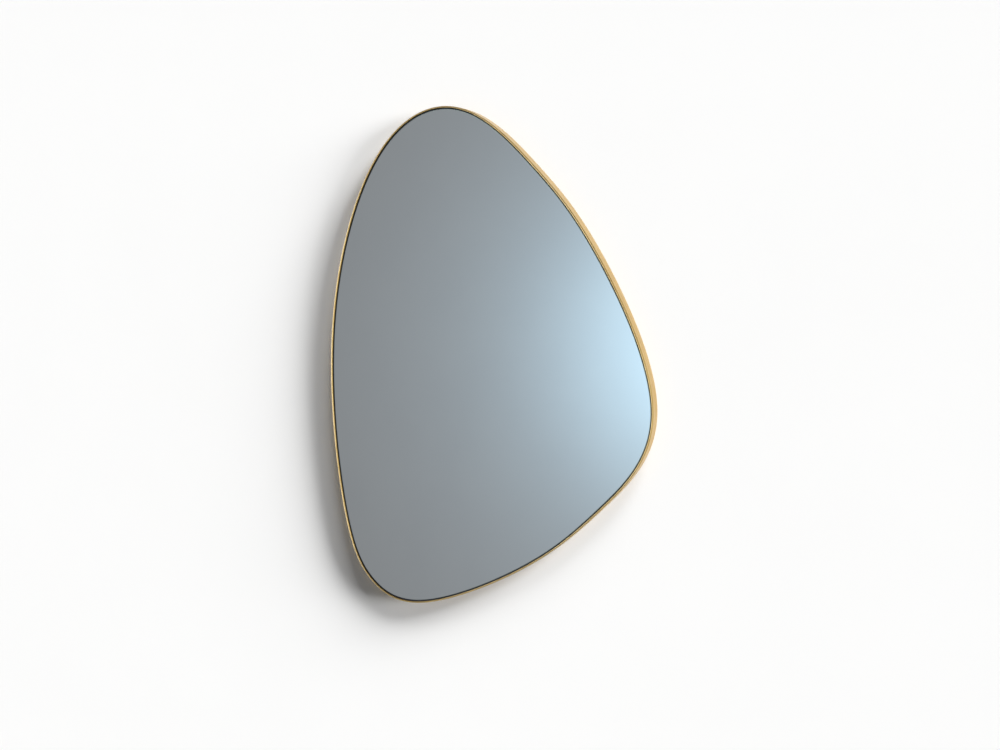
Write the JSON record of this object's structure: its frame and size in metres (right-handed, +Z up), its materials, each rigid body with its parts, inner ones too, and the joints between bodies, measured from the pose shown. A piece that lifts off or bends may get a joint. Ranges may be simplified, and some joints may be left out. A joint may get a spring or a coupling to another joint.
{
  "type": "wall mirror",
  "caption": "Wall mirror in a rounded, lopsided triangle outline, silvered glass set in a thin deep flat-bar metal band, with D-ring hangers behind.",
  "frame": {"origin": "middle of the outline's width and height, in the plane of the band's rear rim, which is the face of the wall", "axes": "+X to the right as seen from the room, +Y into the wall, +Z up"},
  "size_m": [0.7, 0.025, 1],
  "materials": {
    "gold_metal": "satin gold plate, finely brushed along the bar",
    "silvered_glass": "clear float glass silvered on the back, ground arris",
    "black_seal": "matt black",
    "fibreboard": "raw medium-density fibreboard",
    "foam_tape": "white closed-cell foam",
    "zinc_screws": "bright zinc plate",
    "strap_steel": "zinc-plated sheet",
    "ring_wire": "nickel-plated wire",
    "bumper_rubber": "matt dark grey"
  },
  "bodies": {
    "mirror": {"backing_board": "fibreboard", "band_lug_1": "gold_metal", "band_lug_2": "gold_metal", "band_lug_3": "gold_metal", "band_lug_4": "gold_metal", "band_lug_5": "gold_metal", "band_lug_6": "gold_metal", "band_lug_7": "gold_metal", "band_lug_8": "gold_metal", "edge_seal": "black_seal", "frame_band": "gold_metal", "hanger_screws": "zinc_screws", "hanger_strap_left": "strap_steel", "hanger_strap_right": "strap_steel", "lug_screws": "zinc_screws", "mirror_glass": "silvered_glass", "tape_strip_1": "foam_tape", "tape_strip_2": "foam_tape", "tape_strip_3": "foam_tape", "tape_strip_4": "foam_tape", "tape_strip_5": "foam_tape", "wall_bumper_1": "bumper_rubber", "wall_bumper_2": "bumper_rubber", "wall_bumper_3": "bumper_rubber", "wall_bumper_4": "bumper_rubber"},
    "left_ring": {"hanger_ring_left": "ring_wire"},
    "right_ring": {"hanger_ring_right": "ring_wire"}
  },
  "joints": [
    {"name": "left_ring_swing", "type": "hinge", "parent": "mirror", "child": "left_ring", "pos_m": [-0.18698, -0.0057, 0.23], "axis": [-1, 0, 0], "range_deg": [-4, 180]},
    {"name": "right_ring_swing", "type": "hinge", "parent": "mirror", "child": "right_ring", "pos_m": [0.11302, -0.0057, 0.23], "axis": [-1, 0, 0], "range_deg": [-4, 180]}
  ]
}
